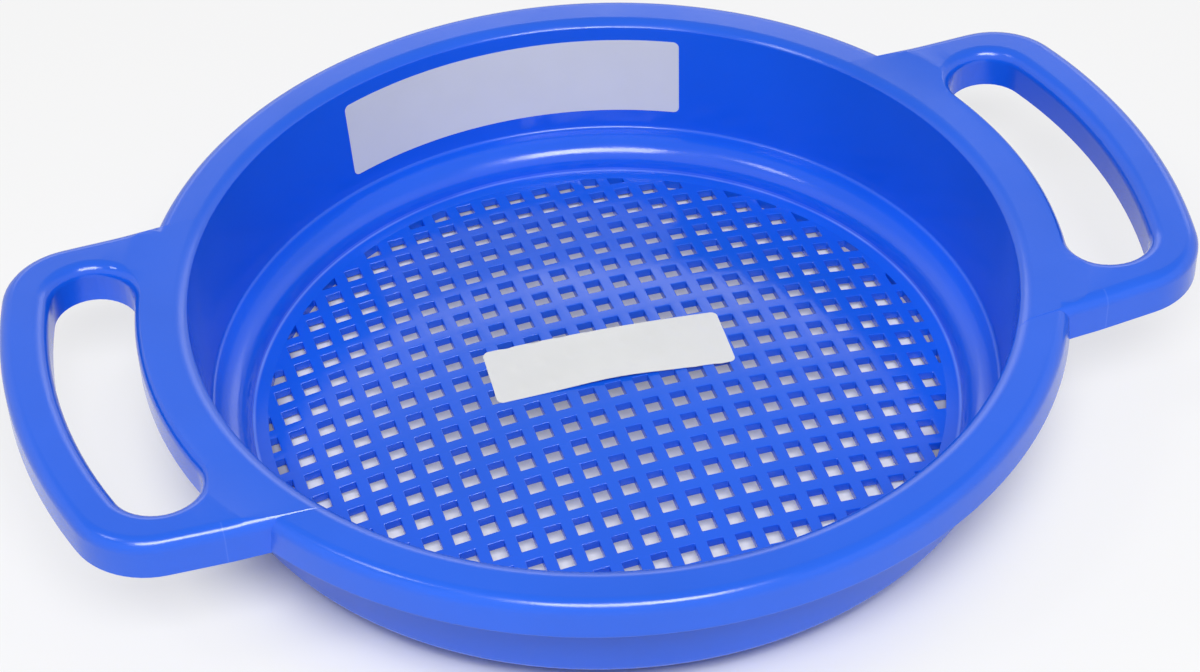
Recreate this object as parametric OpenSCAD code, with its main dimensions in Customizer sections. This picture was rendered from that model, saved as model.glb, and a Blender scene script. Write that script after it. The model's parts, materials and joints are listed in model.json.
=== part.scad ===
// Sand sieve: a round bowl with a crowned grille for a floor and a loop handle on each side.
// Millimetres. The origin is on the resting plane, under the middle of the bowl. +X runs through
// the right handle, +Y points away from the viewer of the photograph and +Z is up.

/* [Rim] */
// Outer diameter at the skirt's lower edge
rim_d = 260; // [240:1:280]
// Height of the rim's top face above the resting plane
rim_height = 49.4; // [44:0.1:56]
// Width of the rim from the bowl's inner face to the skirt's upper edge
rim_w = 14.9; // [13:0.1:18]
// How far the skirt leans outwards from top to bottom
skirt_lean = 0.6; // [0:0.1:1.2]
// Depth of the skirt below the rim's top face
skirt_depth = 10.6; // [8:0.1:14]
// Radius of the rim's rolled outer edge
rim_outer_r = 3.8; // [2.6:0.1:4.4]
// Radius of the rim's rounded inner edge
rim_inner_r = 5.8; // [4.5:0.1:7]

/* [Bowl] */
// Wall thickness of the moulding, apart from its floor
wall = 2.2; // [1.8:0.1:2.6]
// How much wider the bowl is at the top of its wall, on the radius
bowl_draft = 1.6; // [0.8:0.1:2.2]
// Height of the step inside the bowl above the resting plane
step_height = 11.3; // [10:0.1:14]
// Width of the step, from the tall wall's foot to the floor
step_w = 10.7; // [10:0.1:14]
// Radius of the bowl's lower outer corner
corner_r = 2.6; // [1:0.1:4]
// Radius of the fillet at the foot of the tall wall
crease_r = 1.2; // [0.6:0.1:1.8]

/* [Sieve floor] */
// Thickness of the grille, and of the plain margin that the sieve stands on
floor_t = 2.8; // [2.2:0.1:3.4]
// Width of the floor's plain margin round the grille
margin_w = 4.5; // [3:0.1:12]
// Rise of the crowned grille at its middle
crown = 8.5; // [5:0.1:10]
// Spacing of the holes along the handles' axis
pitch_x = 8.1; // [7.4:0.05:9]
// Spacing of the holes across the handles' axis
pitch_y = 9.2; // [8.4:0.05:10]
// Width of the bars between holes
bar_w = 3.5; // [3:0.05:3.9]
// Turn of the grille against the handles' axis, in degrees
grille_turn = -1.75; // [-5:0.25:5]

/* [Handles] */
// Distance from the rim's skirt to the outer face of a grip
grip_out = 37; // [33:0.5:45]
// Width of the handle's bar, from the hand slot to the outside
grip_w = 13.4; // [11.5:0.1:14.5]
// Half the width of a handle where its sides meet the bowl's axis line
handle_half_w = 68; // [66:0.5:70]
// Lean of a handle's straight sides, in degrees
side_lean = 2.2; // [0:0.1:4]
// Radius of a handle's outer corners
handle_corner_r = 22; // [16:0.5:26]
// Depth of a handle from its top face to its lower edge
handle_depth = 11.8; // [10:0.1:13]
// Distance from the rim's skirt to the circle from which a handle tilts
tilt_out = 7.5; // [4:0.5:12]
// Upward tilt of a handle beyond that circle, in degrees
handle_tilt = 2.3; // [0.5:0.1:4]
// How far a handle's saddle stands above the rim
saddle_rise = 1; // [0.6:0.1:1.6]
// Radius of the handle's rolled edges
handle_edge_r = 3.8; // [2.6:0.1:4.2]
// Width of a handle's side bar, from the end of its hand slot to the outside
side_w = 17.4; // [15:0.2:22]
// Thickness of the skin that a hand slot leaves on the rim's skirt
slot_skin = 0.3; // [0.2:0.1:0.8]

/* [Labels] */
// Thickness of the label film
label_t = 0.2; // [0.15:0.05:0.4]
// Thickness of the adhesive between a label's film and the moulding
glue_t = 0.1; // [0.05:0.05:0.2]
// Length of the wall label, along the wall
wall_label_l = 107; // [80:1:120]
// Height of the wall label
wall_label_h = 24.8; // [15:0.2:26]
// Distance from the wall label's upper edge to the top of the bowl's wall
wall_label_drop = 0.1; // [0.1:0.1:5]
// Direction of the wall label's middle, in degrees from the right handle
wall_label_at = 85.7; // [70:0.1:110]
// Length of the floor label
floor_label_l = 70; // [50:1:80]
// Width of the floor label
floor_label_w = 20.5; // [14:0.5:26]
// Place of the floor label's middle along the handles' axis
floor_label_x = 3; // [-10:0.5:10]
// Place of the floor label's middle across the handles' axis
floor_label_y = 5.8; // [-10:0.1:20]
// Turn of the floor label, in degrees
floor_label_turn = -5.2; // [-15:0.1:15]
// Corner radius of both labels
label_r = 3; // [1:0.1:5]

/* [Hidden] */
$fn = 96;

// Overrun of every cut past the face it leaves
over = 1;
// Step that keeps two curved faces apart where one runs into the other
seam = 0.05;
// Direction of each handle in plan
right_at = 0;
left_at = 180;

// Rim, on the radius
rim_r = rim_d / 2;
rim_top_r = rim_r - skirt_lean;
rim_in_r = rim_top_r - rim_w;
wall_top = rim_height - rim_inner_r;
skirt_low = rim_height - skirt_depth;

// Bowl
bowl_r = rim_in_r - bowl_draft;
step_r = step_height - floor_t;
step_low = step_height - wall;
floor_r = bowl_r - step_w;
floor_out_r = floor_r + wall;

// Grille
grille_r = floor_r - margin_w;
hole_x = pitch_x - bar_w;
hole_y = pitch_y - bar_w;
crown_r = (grille_r * grille_r + crown * crown) / (2 * crown);
columns = ceil(grille_r / pitch_x);
rows = ceil(grille_r / pitch_y);

// Handles, level as far as the circle from which they tilt
grip_reach = rim_r + grip_out;
tilt_from_r = rim_r + tilt_out;
slot_out_r = grip_reach - grip_w;
slot_in_r = rim_r + slot_skin;
slot_half_l = handle_half_w - side_w;
slot_w = slot_out_r - slot_in_r;
slot_mid_r = (slot_out_r + slot_in_r) / 2;
slot_end = asin((slot_half_l - slot_w / 2) / slot_mid_r);
handle_top = rim_height + saddle_rise;
saddle_low = rim_height - rim_inner_r / 2;
saddle_out_r = rim_top_r - rim_outer_r;
tilt_x = sqrt(pow(tilt_from_r, 2) - pow((slot_half_l + handle_half_w) / 2, 2));

// Middle of the circle of a handle's outer corner, which touches the grip's arc and the leaning side
corner_off = handle_half_w - handle_corner_r;
corner_out = sqrt(pow(grip_reach - handle_corner_r, 2) - pow(corner_off, 2));
corner_mid = [
    corner_out * cos(side_lean) + corner_off * sin(side_lean),
    corner_off * cos(side_lean) - corner_out * sin(side_lean)
];

// Labels
wall_label_mid = wall_top - wall_label_drop - wall_label_h / 2;
wall_label_chord = 2 * bowl_r * sin(wall_label_l / bowl_r * 90 / PI);

// Colours of the moulding and of the label film
moulding_blue = [0.10, 0.27, 0.86];
label_white = [0.93, 0.94, 0.96];

// A rectangle from the lower left corner to the upper right one
module span(x0, z0, x1, z1) {
    translate([x0, z0]) square([x1 - x0, z1 - z0]);
}

// A ring whose section is drawn in the half plane of radius and height
module turned() {
    rotate_extrude($fn = 180) children();
}

// Section of the flange as a full shape: the rim grown inwards by an inset of its surface
module flange_section(inset) {
    in_r = rim_inner_r - inset;
    out_r = rim_outer_r - inset;
    difference() {
        union() {
            translate([rim_in_r + rim_inner_r, wall_top]) circle(in_r);
            translate([rim_top_r - rim_outer_r, rim_height - rim_outer_r]) circle(out_r);
            polygon([
                [rim_in_r + rim_inner_r, skirt_low - over],
                [rim_r - inset, skirt_low - over],
                [rim_r - inset, skirt_low],
                [rim_top_r - inset, rim_height - rim_outer_r],
                [rim_in_r + rim_inner_r, rim_height - rim_outer_r]
            ]);
            span(rim_in_r + rim_inner_r, rim_height - rim_outer_r, rim_top_r - rim_outer_r, rim_height - inset);
            span(rim_in_r + inset, skirt_low - over, rim_in_r + rim_inner_r, wall_top);
        }
        span(rim_in_r - over, skirt_low - 2 * over, rim_r + over, skirt_low);
    }
}

// The rim: top face, rounded inner edge, rolled outer edge and turned-down skirt
module rim() {
    color(moulding_blue) turned() difference() {
        flange_section(0);
        flange_section(wall);
        span(rim_in_r + wall, skirt_low - over, rim_top_r - wall, rim_height - rim_outer_r);
        span(rim_in_r - over, skirt_low - over, rim_in_r + wall + over, wall_top);
    }
}

// Everything within the bowl's outer face: tall wall, round lower corner, shoulder and standing ring
module bowl_outside() {
    foot_r = bowl_r + wall;
    difference() {
        union() {
            polygon([
                [0, step_low + corner_r],
                [foot_r, step_low + corner_r],
                [rim_in_r + wall, wall_top],
                [0, wall_top]
            ]);
            span(0, 0, foot_r - corner_r, step_low + corner_r + over);
            translate([foot_r - corner_r, step_low + corner_r]) circle(corner_r);
        }
        // Space under the step
        span(floor_out_r, -over, foot_r + over, floor_t);
        span(floor_r + step_r, -over, foot_r + over, step_low);
        intersection() {
            translate([floor_r + step_r, floor_t]) circle(step_r - wall);
            span(floor_r, 0, floor_r + step_r, step_low + over);
        }
    }
}

// Everything within the bowl's inner face: tall wall with a fillet at its foot, shoulder and grille
module bowl_inside() {
    difference() {
        union() {
            polygon([
                [-over, step_height],
                [bowl_r, step_height],
                [rim_in_r, wall_top],
                [rim_in_r, wall_top + over],
                [-over, wall_top + over]
            ]);
            difference() {
                span(-over, floor_t, floor_r + step_r, step_height + over);
                translate([floor_r + step_r, floor_t]) circle(step_r);
            }
            span(-over, -over, grille_r, floor_t + over);
        }
        difference() {
            span(bowl_r - crease_r, step_height - over, bowl_r + wall, step_height + crease_r);
            translate([bowl_r - crease_r, step_height + crease_r]) circle(crease_r);
        }
    }
}

// The bowl below the rim: tall wall, rounded step, standing ring and the floor's plain margin
module bowl() {
    color(moulding_blue) turned() difference() {
        bowl_outside();
        bowl_inside();
    }
}

// Every hole of the grille, in plan: those at the edge are made if their middle is near the circle
module holes() {
    rotate(grille_turn)
        for (i = [-columns : columns], j = [-rows : rows])
            if (norm([i * pitch_x, j * pitch_y]) < grille_r + bar_w / 2)
                translate([i * pitch_x, j * pitch_y]) square([hole_x, hole_y], center = true);
}

// The ball whose top is the grille's lower face, raised by a height
module crown_ball(lift) {
    translate([0, 0, crown - crown_r + lift]) sphere(crown_r);
}

// The sieve floor: a crowned grille that its circle cuts off, between two equal balls
module sieve_floor() {
    color(moulding_blue) difference() {
        intersection() {
            crown_ball(floor_t);
            translate([0, 0, -over]) linear_extrude(floor_t + crown + 2 * over) difference() {
                circle(grille_r, $fn = 180);
                holes();
            }
        }
        crown_ball(0);
    }
}

// Everything on the near side of a handle's straight side, under its rounded upper edge
module leaning_side(inset, edge_r, top, low) {
    rotate([0, 0, -side_lean]) rotate([90, 0, 90]) linear_extrude(grip_reach + over)
        edge_section(handle_half_w - inset, edge_r, top, low);
}

// A wide section with one rounded upper corner
module edge_section(reach, edge_r, top, low) {
    span(-grip_reach, low, reach - edge_r, top);
    span(-grip_reach, low, reach, top - edge_r);
    translate([reach - edge_r, top - edge_r]) circle(edge_r, $fn = 48);
}

// A turned puck with a rounded upper edge
module puck(reach, edge_r, top, low) {
    rotate_extrude($fn = 180) {
        span(0, low, reach - edge_r, top);
        span(0, low, reach, top - edge_r);
        translate([reach - edge_r, top - edge_r]) circle(edge_r, $fn = 48);
    }
}

// Sector outside a corner's circle, in plan, between the two lines where the corner ends
module corner_sector(low, high) {
    reach = 2 * handle_corner_r;
    to_grip = reach * corner_mid / norm(corner_mid);
    to_side = reach * [sin(side_lean), cos(side_lean)];
    translate([0, 0, low]) linear_extrude(high - low)
        polygon([corner_mid, corner_mid + to_grip, corner_mid + to_grip + to_side, corner_mid + to_side]);
}

// What is cut off a sharp corner to round it
module corner_waste(inset, edge_r, top, low) {
    difference() {
        corner_sector(low - over, top + over);
        translate(corner_mid) puck(handle_corner_r - inset - seam, edge_r, top, low - 2 * over);
    }
}

// The handle's block before it is hollowed: grip arc, two straight sides, two round corners
module handle_block(inset, edge_r, top, low) {
    difference() {
        intersection() {
            puck(grip_reach - inset, edge_r, top, low);
            leaning_side(inset, edge_r, top, low);
            mirror([0, 1, 0]) leaning_side(inset, edge_r, top, low);
        }
        corner_waste(inset, edge_r, top, low);
        mirror([0, 1, 0]) corner_waste(inset, edge_r, top, low);
    }
}

// Section of a hand slot's wall with a flared upper edge, from its middle line outwards
module slot_section(reach, edge_r, top, low) {
    difference() {
        union() {
            span(-reach, low, reach, top + over);
            if (edge_r > 0)
                span(-reach - edge_r, top - edge_r, reach + edge_r, top + over);
        }
        if (edge_r > 0)
            for (side = [-1, 1])
                translate([side * (reach + edge_r), top - edge_r]) circle(edge_r, $fn = 48);
    }
}

// A hand slot: an arc about the bowl's axis with round ends
module hand_slot(grow, edge_r, top, low) {
    reach = slot_w / 2 + grow;
    rotate([0, 0, -slot_end])
        rotate_extrude(angle = 2 * slot_end, $fn = 180)
            translate([slot_mid_r, 0]) slot_section(reach, edge_r, top, low);
    for (side = [-1, 1])
        rotate([0, 0, side * slot_end]) translate([slot_mid_r, 0, 0])
            rotate_extrude($fn = 120) intersection() {
                slot_section(reach - seam, edge_r, top, low);
                span(0, low, reach + edge_r + over, top + over);
            }
}

// The loop of one handle, level, open underneath
module level_loop() {
    low = handle_top - handle_depth;
    difference() {
        handle_block(0, handle_edge_r, handle_top, low);
        hand_slot(0, handle_edge_r, handle_top, low - over);
        difference() {
            handle_block(wall, handle_edge_r - wall, handle_top - wall, low - over);
            hand_slot(wall, 0, handle_top, low - 2 * over);
        }
    }
}

// Outline between a handle's two straight sides, in plan
module between_sides() {
    intersection_for(side = [0, 1])
        mirror([0, side]) rotate(-side_lean) translate([0, -grip_reach])
            square([grip_reach, grip_reach + handle_half_w - seam]);
}

// The saddle of a handle on the rim: thin over the rim's top and its inner edge
module saddle() {
    in_r = rim_inner_r + saddle_rise;
    intersection() {
        turned() difference() {
            span(rim_in_r, saddle_low, saddle_out_r, handle_top);
            difference() {
                span(rim_in_r - over, wall_top, rim_in_r + in_r, handle_top + over);
                translate([rim_in_r + in_r, wall_top]) circle(in_r);
            }
        }
        translate([0, 0, skirt_low]) linear_extrude(2 * handle_depth) between_sides();
    }
}

// One handle: its loop, level near the rim and tilted beyond, and its saddle, fitted round the rim
module handle() {
    color(moulding_blue) difference() {
        union() {
            saddle();
            intersection() {
                level_loop();
                turned() span(saddle_out_r - over, 0, tilt_from_r + seam, 2 * rim_height);
            }
            difference() {
                translate([tilt_x, 0, handle_top]) rotate([0, -handle_tilt, 0])
                    translate([-tilt_x, 0, -handle_top]) level_loop();
                turned() span(0, -over, tilt_from_r, 2 * rim_height);
            }
        }
        rim_envelope();
    }
}

// The room that the rim takes, with the bowl inside it and the space under its flange
module rim_envelope() {
    turned() {
        flange_section(0);
        span(0, 0, rim_r, skirt_low);
        span(0, 0, rim_in_r + over, wall_top);
    }
}

module right_handle() {
    rotate([0, 0, right_at]) handle();
}

module left_handle() {
    rotate([0, 0, left_at]) handle();
}

// A label's outline with round corners, about its middle
module label_outline(length, width) {
    for (x = [-1, 1], y = [-1, 1])
        translate([x * (length / 2 - label_r), y * (width / 2 - label_r)]) circle(label_r, $fn = 48);
    square([length, width - 2 * label_r], center = true);
    square([length - 2 * label_r, width], center = true);
}

// The label on the tall wall inside the bowl
module wall_label() {
    color(label_white) intersection() {
        turned() polygon([
            [bowl_r - glue_t - label_t, step_height],
            [bowl_r - glue_t, step_height],
            [rim_in_r - glue_t, wall_top],
            [rim_in_r - glue_t - label_t, wall_top]
        ]);
        rotate([0, 0, wall_label_at]) translate([0, 0, wall_label_mid]) rotate([90, 0, 90])
            linear_extrude(rim_r) label_outline(wall_label_chord, wall_label_h);
    }
}

// The label on the grille
module floor_label() {
    color(label_white) intersection() {
        difference() {
            crown_ball(floor_t + glue_t + label_t);
            crown_ball(floor_t + glue_t);
        }
        translate([floor_label_x, floor_label_y, 0]) rotate([0, 0, floor_label_turn])
            linear_extrude(2 * (floor_t + crown)) label_outline(floor_label_l, floor_label_w);
    }
}

rim();
bowl();
sieve_floor();
left_handle();
right_handle();
wall_label();
floor_label();
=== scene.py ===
"""Dresses the packed sand sieve: a satin blue moulding with two bare white labels on a pale studio floor.

Every length is in metres, in the part's own frame: the origin is on the resting plane under the
middle of the bowl, +X runs through the right handle, +Y points away from the viewer and +Z is up.
"""

import json
import math

import bmesh
import bpy
from bpy.props import FloatProperty, FloatVectorProperty, IntProperty, PointerProperty
from bpy.types import NodeSocket, Operator, Panel, PropertyGroup
from mathutils import Euler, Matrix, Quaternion, Vector

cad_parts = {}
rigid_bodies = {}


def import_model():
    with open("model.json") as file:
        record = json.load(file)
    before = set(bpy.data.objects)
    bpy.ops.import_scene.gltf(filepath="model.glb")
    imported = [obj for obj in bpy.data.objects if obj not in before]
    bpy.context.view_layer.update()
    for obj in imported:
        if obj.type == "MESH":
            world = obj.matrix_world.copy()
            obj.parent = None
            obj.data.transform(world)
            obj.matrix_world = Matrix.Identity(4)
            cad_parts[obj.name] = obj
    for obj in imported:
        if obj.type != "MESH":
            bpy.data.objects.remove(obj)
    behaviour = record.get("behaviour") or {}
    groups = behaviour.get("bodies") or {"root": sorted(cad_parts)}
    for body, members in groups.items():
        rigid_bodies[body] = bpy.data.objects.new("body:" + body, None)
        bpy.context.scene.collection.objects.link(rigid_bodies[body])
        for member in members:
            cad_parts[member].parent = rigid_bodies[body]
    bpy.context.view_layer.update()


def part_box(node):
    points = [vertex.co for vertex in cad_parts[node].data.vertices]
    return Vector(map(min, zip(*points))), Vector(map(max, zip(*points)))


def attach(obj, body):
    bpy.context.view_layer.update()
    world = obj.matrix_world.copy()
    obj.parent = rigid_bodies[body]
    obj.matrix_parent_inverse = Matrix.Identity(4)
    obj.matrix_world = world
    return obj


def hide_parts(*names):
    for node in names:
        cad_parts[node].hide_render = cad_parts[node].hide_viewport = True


bpy.ops.object.select_all(action="SELECT")
bpy.ops.object.delete()
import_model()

bl_info = {
    "name": "Sand sieve dresser",
    "version": (1, 0, 0),
    "blender": (4, 5, 0),
    "location": "View3D > Sidebar > Sieve",
    "description": "Models and finishes a moulded sand sieve and its studio",
    "category": "Object",
}

MM = 0.001
QUARTER = math.pi / 2
ROOT_BODY = "root"
RIM_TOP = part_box("rim")[1].z
RIM_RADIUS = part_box("rim")[1].x
GRILLE_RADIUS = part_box("sieve_floor")[1].y

# Points closer than WELD are merged, and a point within NEAR of a plane counts as on it.
WELD = 0.01 * MM
NEAR = 0.02 * MM

# Edges sharper than SHARP_ANGLE are rounded, and those flatter than SMOOTH_ANGLE are shaded smooth.
SHARP_ANGLE = math.radians(50)
SMOOTH_ANGLE = math.radians(38)

# Facets of the arcs that the sections share.
EDGE_STEPS = 3
CORNER_STEPS = 5
SADDLE_STEPS = 8
ROUND_STEPS = 10


def length(name, description, default, low, high):
    """A size that a user can change, given in millimetres."""
    return FloatProperty(
        name=name, description=description, default=default * MM, min=low * MM, max=high * MM,
        unit="LENGTH", subtype="DISTANCE")


def angle(name, description, default, low=-180, high=180):
    """A lean or a turn that a user can change, given in degrees."""
    return FloatProperty(
        name=name, description=description, default=math.radians(default),
        min=math.radians(low), max=math.radians(high), subtype="ANGLE")


def share(name, description, default, high=1):
    """A strength or a share that a user can change."""
    return FloatProperty(
        name=name, description=description, default=default, min=0, max=high, subtype="FACTOR")


def power(name, description, default):
    """A lamp's power in watts that a user can change."""
    return FloatProperty(name=name, description=description, default=default, min=0, unit="POWER")


def colour(name, description, default):
    """A colour that a user can change."""
    return FloatVectorProperty(
        name=name, description=description, subtype="COLOR", size=3, min=0, max=1, default=default)


class SieveSizes(PropertyGroup):
    """Sizes of the moulding that its surfaces are traced from."""

    wall: length("Wall", "Wall thickness of the moulding, apart from its floor", 2.2, 1, 4)
    bowl_radius: length("Bowl radius", "Inner radius at the foot of the tall wall", 112.9, 80, 150)
    wall_lean: angle("Wall lean", "Lean of the tall wall away from the bowl's axis", 4.33, 0, 8)
    fall_radius: length(
        "Fall from", "Radius at which the rim's flat top starts to fall towards the bowl", 119.4, 80, 150)
    fall_round: length("Fall", "Radius of the rim's fall towards the bowl, in section", 5, 3, 9)
    inner_corner: length(
        "Inner corner", "Radius of the corner between the rim and the tall wall", 0.8, 0.3, 3)
    rim_outer_round: length("Outer rounding", "Radius of the rim's rolled outer edge", 3.8, 3, 6)
    skirt_lean: length(
        "Skirt lean", "How far the rim's skirt leans outwards from top to bottom", 0.6, 0, 2)
    skirt_depth: length("Skirt depth", "Depth of the skirt below the rim's top face", 10.6, 6, 16)
    step_height: length(
        "Step height", "Height of the rounded step above the resting plane", 11.3, 6, 16)
    floor_thickness: length(
        "Floor", "Thickness of the grille and of the standing ring round it", 2.8, 1, 4)
    floor_radius: length("Floor radius", "Inner radius of the floor, inside the step", 102.2, 70, 110)
    corner_round: length("Lower corner", "Radius of the bowl's lower outer corner", 2.6, 1, 5)
    crease_round: length("Crease", "Radius of the fillet at the foot of the tall wall", 1.2, 0.4, 3)
    edge_round: length(
        "Parting edges", "Small radius left on the moulding's open lower edges", 0.5, 0.1, 0.8)
    turn_steps: IntProperty(
        name="Turn steps", description="Facets of a full turn of the bowl and the rim",
        default=256, min=96, max=512)


class SieveGrille(PropertyGroup):
    """Sizes of the crowned grille."""

    pitch_x: length("Pitch X", "Spacing of the holes along the handles' axis", 8.1, 5, 12)
    pitch_y: length("Pitch Y", "Spacing of the holes across the handles' axis", 9.2, 5, 12)
    bar: length("Bar", "Width of the bars between holes", 3.5, 1.5, 4)
    crown: length("Crown", "Rise of the grille at its middle", 8.5, 0, 12)
    turn: angle("Turn", "Turn of the hole pattern against the handles' axis", -1.75, -10, 10)
    hole_round: length("Hole edges", "Small radius on every edge of a hole", 0.28, 0.1, 0.6)


class SieveHandles(PropertyGroup):
    """Sizes of a loop handle, which is drawn level and then tilted."""

    reach: length("Reach", "Distance from the bowl's axis to the outside of a grip", 167, 140, 200)
    grip_width: length("Grip width", "Width of the bar that the hand closes round", 13.4, 10, 18)
    half_width: length(
        "Half width", "Half the width of a handle where its sides meet the bowl's axis line", 68, 50, 80)
    side_width: length(
        "Side width", "Width of a side bar, from the hand slot's end to the outside", 17.4, 12, 24)
    side_lean: angle("Side lean", "Lean of the straight sides towards each other", 2.2, 0, 6)
    corner_round: length("Corners", "Radius of a handle's outer corners in plan", 22, 10, 30)
    depth: length("Depth", "Depth of a handle from its top face to its lower edge", 11.8, 8, 16)
    saddle_rise: length("Saddle", "How far a handle's top face stands above the rim", 1, 0.3, 2)
    saddle_skin: length(
        "Saddle skin", "How far a saddle stands proud where it passes the rim's top and fall",
        0.12, 0.05, 0.5)
    saddle_reach: length(
        "Saddle reach", "Radius up to which a saddle lies flush on the rim", 126.5, 120, 130)
    edge_round: length("Edges", "Radius of the rolled upper edges", 3.8, 2, 5)
    slot_skin: length("Slot skin", "Skin that a hand slot leaves on the rim's skirt", 0.3, 0.1, 1)
    tilt_radius: length(
        "Tilt from", "Distance from the bowl's axis at which a handle starts to tilt", 137.5, 130, 150)
    tilt_ramp: length("Tilt ramp", "Half the length over which the tilt sets in", 4, 1, 8)
    tilt: angle("Tilt", "Upward tilt of the grip", 2.3, 0, 8)


class SieveLabels(PropertyGroup):
    """Sizes and places of the two label films."""

    film: length("Film", "Thickness of a label", 0.14, 0.05, 0.4)
    corner: length("Label corners", "Radius of a label's corners", 1.8, 0.5, 6)
    wall_length: length(
        "Wall label length", "Length of the wall label along the wall", 108.7, 60, 150)
    wall_width: length("Wall label height", "Height of the wall label", 25.5, 10, 28)
    wall_height: length(
        "Wall label middle", "Height of the wall label's middle above the resting plane", 30.4, 20, 36)
    wall_at: angle(
        "Wall label at", "Direction of the wall label's middle from the right handle", 85.85)
    wall_turn: angle("Wall label turn", "Turn of the wall label against the level", 0.42, -5, 5)
    floor_length: length("Floor label length", "Length of the label on the grille", 70.2, 40, 90)
    floor_width: length("Floor label width", "Width of the label on the grille", 22.4, 10, 30)
    floor_x: length(
        "Floor label X", "Place of the floor label's middle along the handles' axis", 2.7, -20, 20)
    floor_y: length(
        "Floor label Y", "Place of the floor label's middle across the handles' axis", 5.2, -20, 20)
    floor_turn: angle("Floor label turn", "Turn of the floor label in plan", -5.9, -20, 20)
    sag: length("Sag", "How far the film sinks into each hole under it", 0.3, 0, 0.5)
    curl: length(
        "Curl", "How far the near edge of the floor label has come up in its middle", 1.1, 0, 3)
    curl_length: length(
        "Curl length", "Half the length over which the floor label's edge has come up", 15, 5, 35)


class SieveFinish(PropertyGroup):
    """Colours and gloss of the moulding and the labels."""

    blue: colour("Blue", "Body colour of the moulding", (0.007, 0.122, 0.83))
    deep_blue: colour("Deep blue", "Darker blue that the body colour wanders to", (0.006, 0.108, 0.74))
    # The paler blue paints a highlight along the step's foot and colours the flow lines.
    highlight_and_flow_blue: colour(
        "Highlight and flow-line blue", "Paler blue of the painted highlight at the step's foot and of the flow line", (0.20, 0.34, 0.93))
    # Where the painted highlight runs round the step's foot.
    crease_highlight_radius: length("Crease highlight", "Radius of the painted highlight line at the step's foot", 101.8, 70, 110)
    flow_x: length(
        "Flow line", "Place of the fine flow line across a handle's near side", 124.5, 120, 160)
    gloss: share("Roughness", "Mean roughness of the satin surface", 0.18)
    film: colour("Label", "Colour of the bare label film", (0.76, 0.765, 0.745))


class SieveStudio(PropertyGroup):
    """Camera, lamps and floor."""

    azimuth: angle("Azimuth", "Direction of the camera round the sieve", -18.23)
    elevation: angle("Elevation", "Height of the camera above the horizon", 41.68)
    roll: angle("Roll", "Roll of the camera about its line of sight", -2.04)
    distance: length(
        "Distance", "Distance of the camera from the point it aims at", 872.9, 100, 5000)
    lens: FloatProperty(
        name="Lens", description="Focal length on a sensor 36 mm wide",
        default=88.38, min=10, unit="CAMERA")
    ambient: share("Ambient", "Strength of the even light from all round", 0.3, 2)
    overhead: share("Overhead", "Strength of what reflections show of the room overhead", 0.5)
    back_power: power("Backlight", "Power of the wide lamp low behind the sieve", 5)
    window_power: power("Front window", "Power of the wide lamp above the camera", 17)
    side_power: power("Side window", "Power of the small lamp on the left", 1.6)


def show_only(*objects):
    """Deselects everything, then selects these objects and makes the first one active."""
    bpy.ops.object.select_all(action="DESELECT")
    for obj in objects:
        obj.select_set(True)
    bpy.context.view_layer.objects.active = objects[0]


def edit(obj):
    """Enters edit mode on one object, with vertices as what is selected."""
    show_only(obj)
    bpy.ops.object.mode_set(mode="EDIT")
    bpy.ops.mesh.select_mode(type="VERT")


def leave_edit():
    """Returns from edit mode to object mode."""
    bpy.ops.object.mode_set(mode="OBJECT")


def apply_place(obj):
    """Moves an object's place, turn and size into its mesh."""
    show_only(obj)
    bpy.ops.object.transform_apply(location=True, rotation=True, scale=True)


def apply_modifiers(obj):
    """Applies all modifiers of an object, in order."""
    show_only(obj)
    for modifier in list(obj.modifiers):
        bpy.ops.object.modifier_apply(modifier=modifier.name)


def named(name):
    """Gives the active object and its mesh a name and returns the object."""
    obj = bpy.context.object
    obj.name = name
    obj.data.name = name
    return obj


def remove(obj):
    """Deletes a tool that has done its cut."""
    show_only(obj)
    bpy.ops.object.delete()


def start_line(name, place):
    """Starts a line as one vertex and leaves it in edit mode, where it is the line being drawn."""
    bpy.ops.mesh.primitive_plane_add(size=1 * MM, location=place)
    obj = named(name)
    apply_place(obj)
    edit(obj)
    bpy.ops.mesh.select_all(action="SELECT")
    bpy.ops.mesh.merge(type="CENTER")
    return obj


def start_profile(name, radius, height):
    """Starts a profile in the plane y = 0, which is the plane of radius and height."""
    return start_line(name, (radius, 0, height))


def draw_to(place):
    """Extrudes the line's last vertex, the one that is selected, straight to a place."""
    mesh = bmesh.from_edit_mesh(bpy.context.object.data)
    last = [v.co.copy() for v in mesh.verts if v.select][-1]
    bpy.ops.mesh.extrude_region_move(TRANSFORM_OT_translate={"value": Vector(place) - last})


def line_to(radius, height):
    """Draws a straight line in a profile."""
    draw_to((radius, 0, height))


def arc(centre_radius, centre_height, turn, steps):
    """Spins the profile's last vertex about a centre, anticlockwise where the angle is positive."""
    bpy.ops.mesh.spin(
        steps=steps, angle=turn, center=(centre_radius, 0, centre_height), axis=(0, 1, 0))


def plan_arc(centre, turn, steps):
    """Spins the outline's last vertex in plan about a centre, anticlockwise where the angle is positive."""
    bpy.ops.mesh.spin(steps=steps, angle=turn, center=centre, axis=(0, 0, -1))


def weld_all():
    """Merges the vertices that coincide, such as a closed line's first and last."""
    bpy.ops.mesh.select_all(action="SELECT")
    bpy.ops.mesh.remove_doubles(threshold=WELD)


def turn_profile(steps):
    """Closes the profile, spins it once round the bowl's axis and turns its faces outwards."""
    weld_all()
    bpy.ops.mesh.select_all(action="SELECT")
    bpy.ops.mesh.spin(steps=steps, angle=2 * math.pi, center=(0, 0, 0), axis=(0, 0, 1))
    weld_all()
    bpy.ops.mesh.normals_make_consistent(inside=False)
    leave_edit()


def select_faces(is_wanted):
    """Selects the faces whose vertices all pass a test, and nothing else."""
    bpy.ops.mesh.select_all(action="DESELECT")
    bpy.ops.mesh.select_mode(type="FACE")
    mesh = bmesh.from_edit_mesh(bpy.context.object.data)
    for face in mesh.faces:
        face.select_set(all(is_wanted(v.co) for v in face.verts))
    bmesh.update_edit_mesh(bpy.context.object.data)


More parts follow.
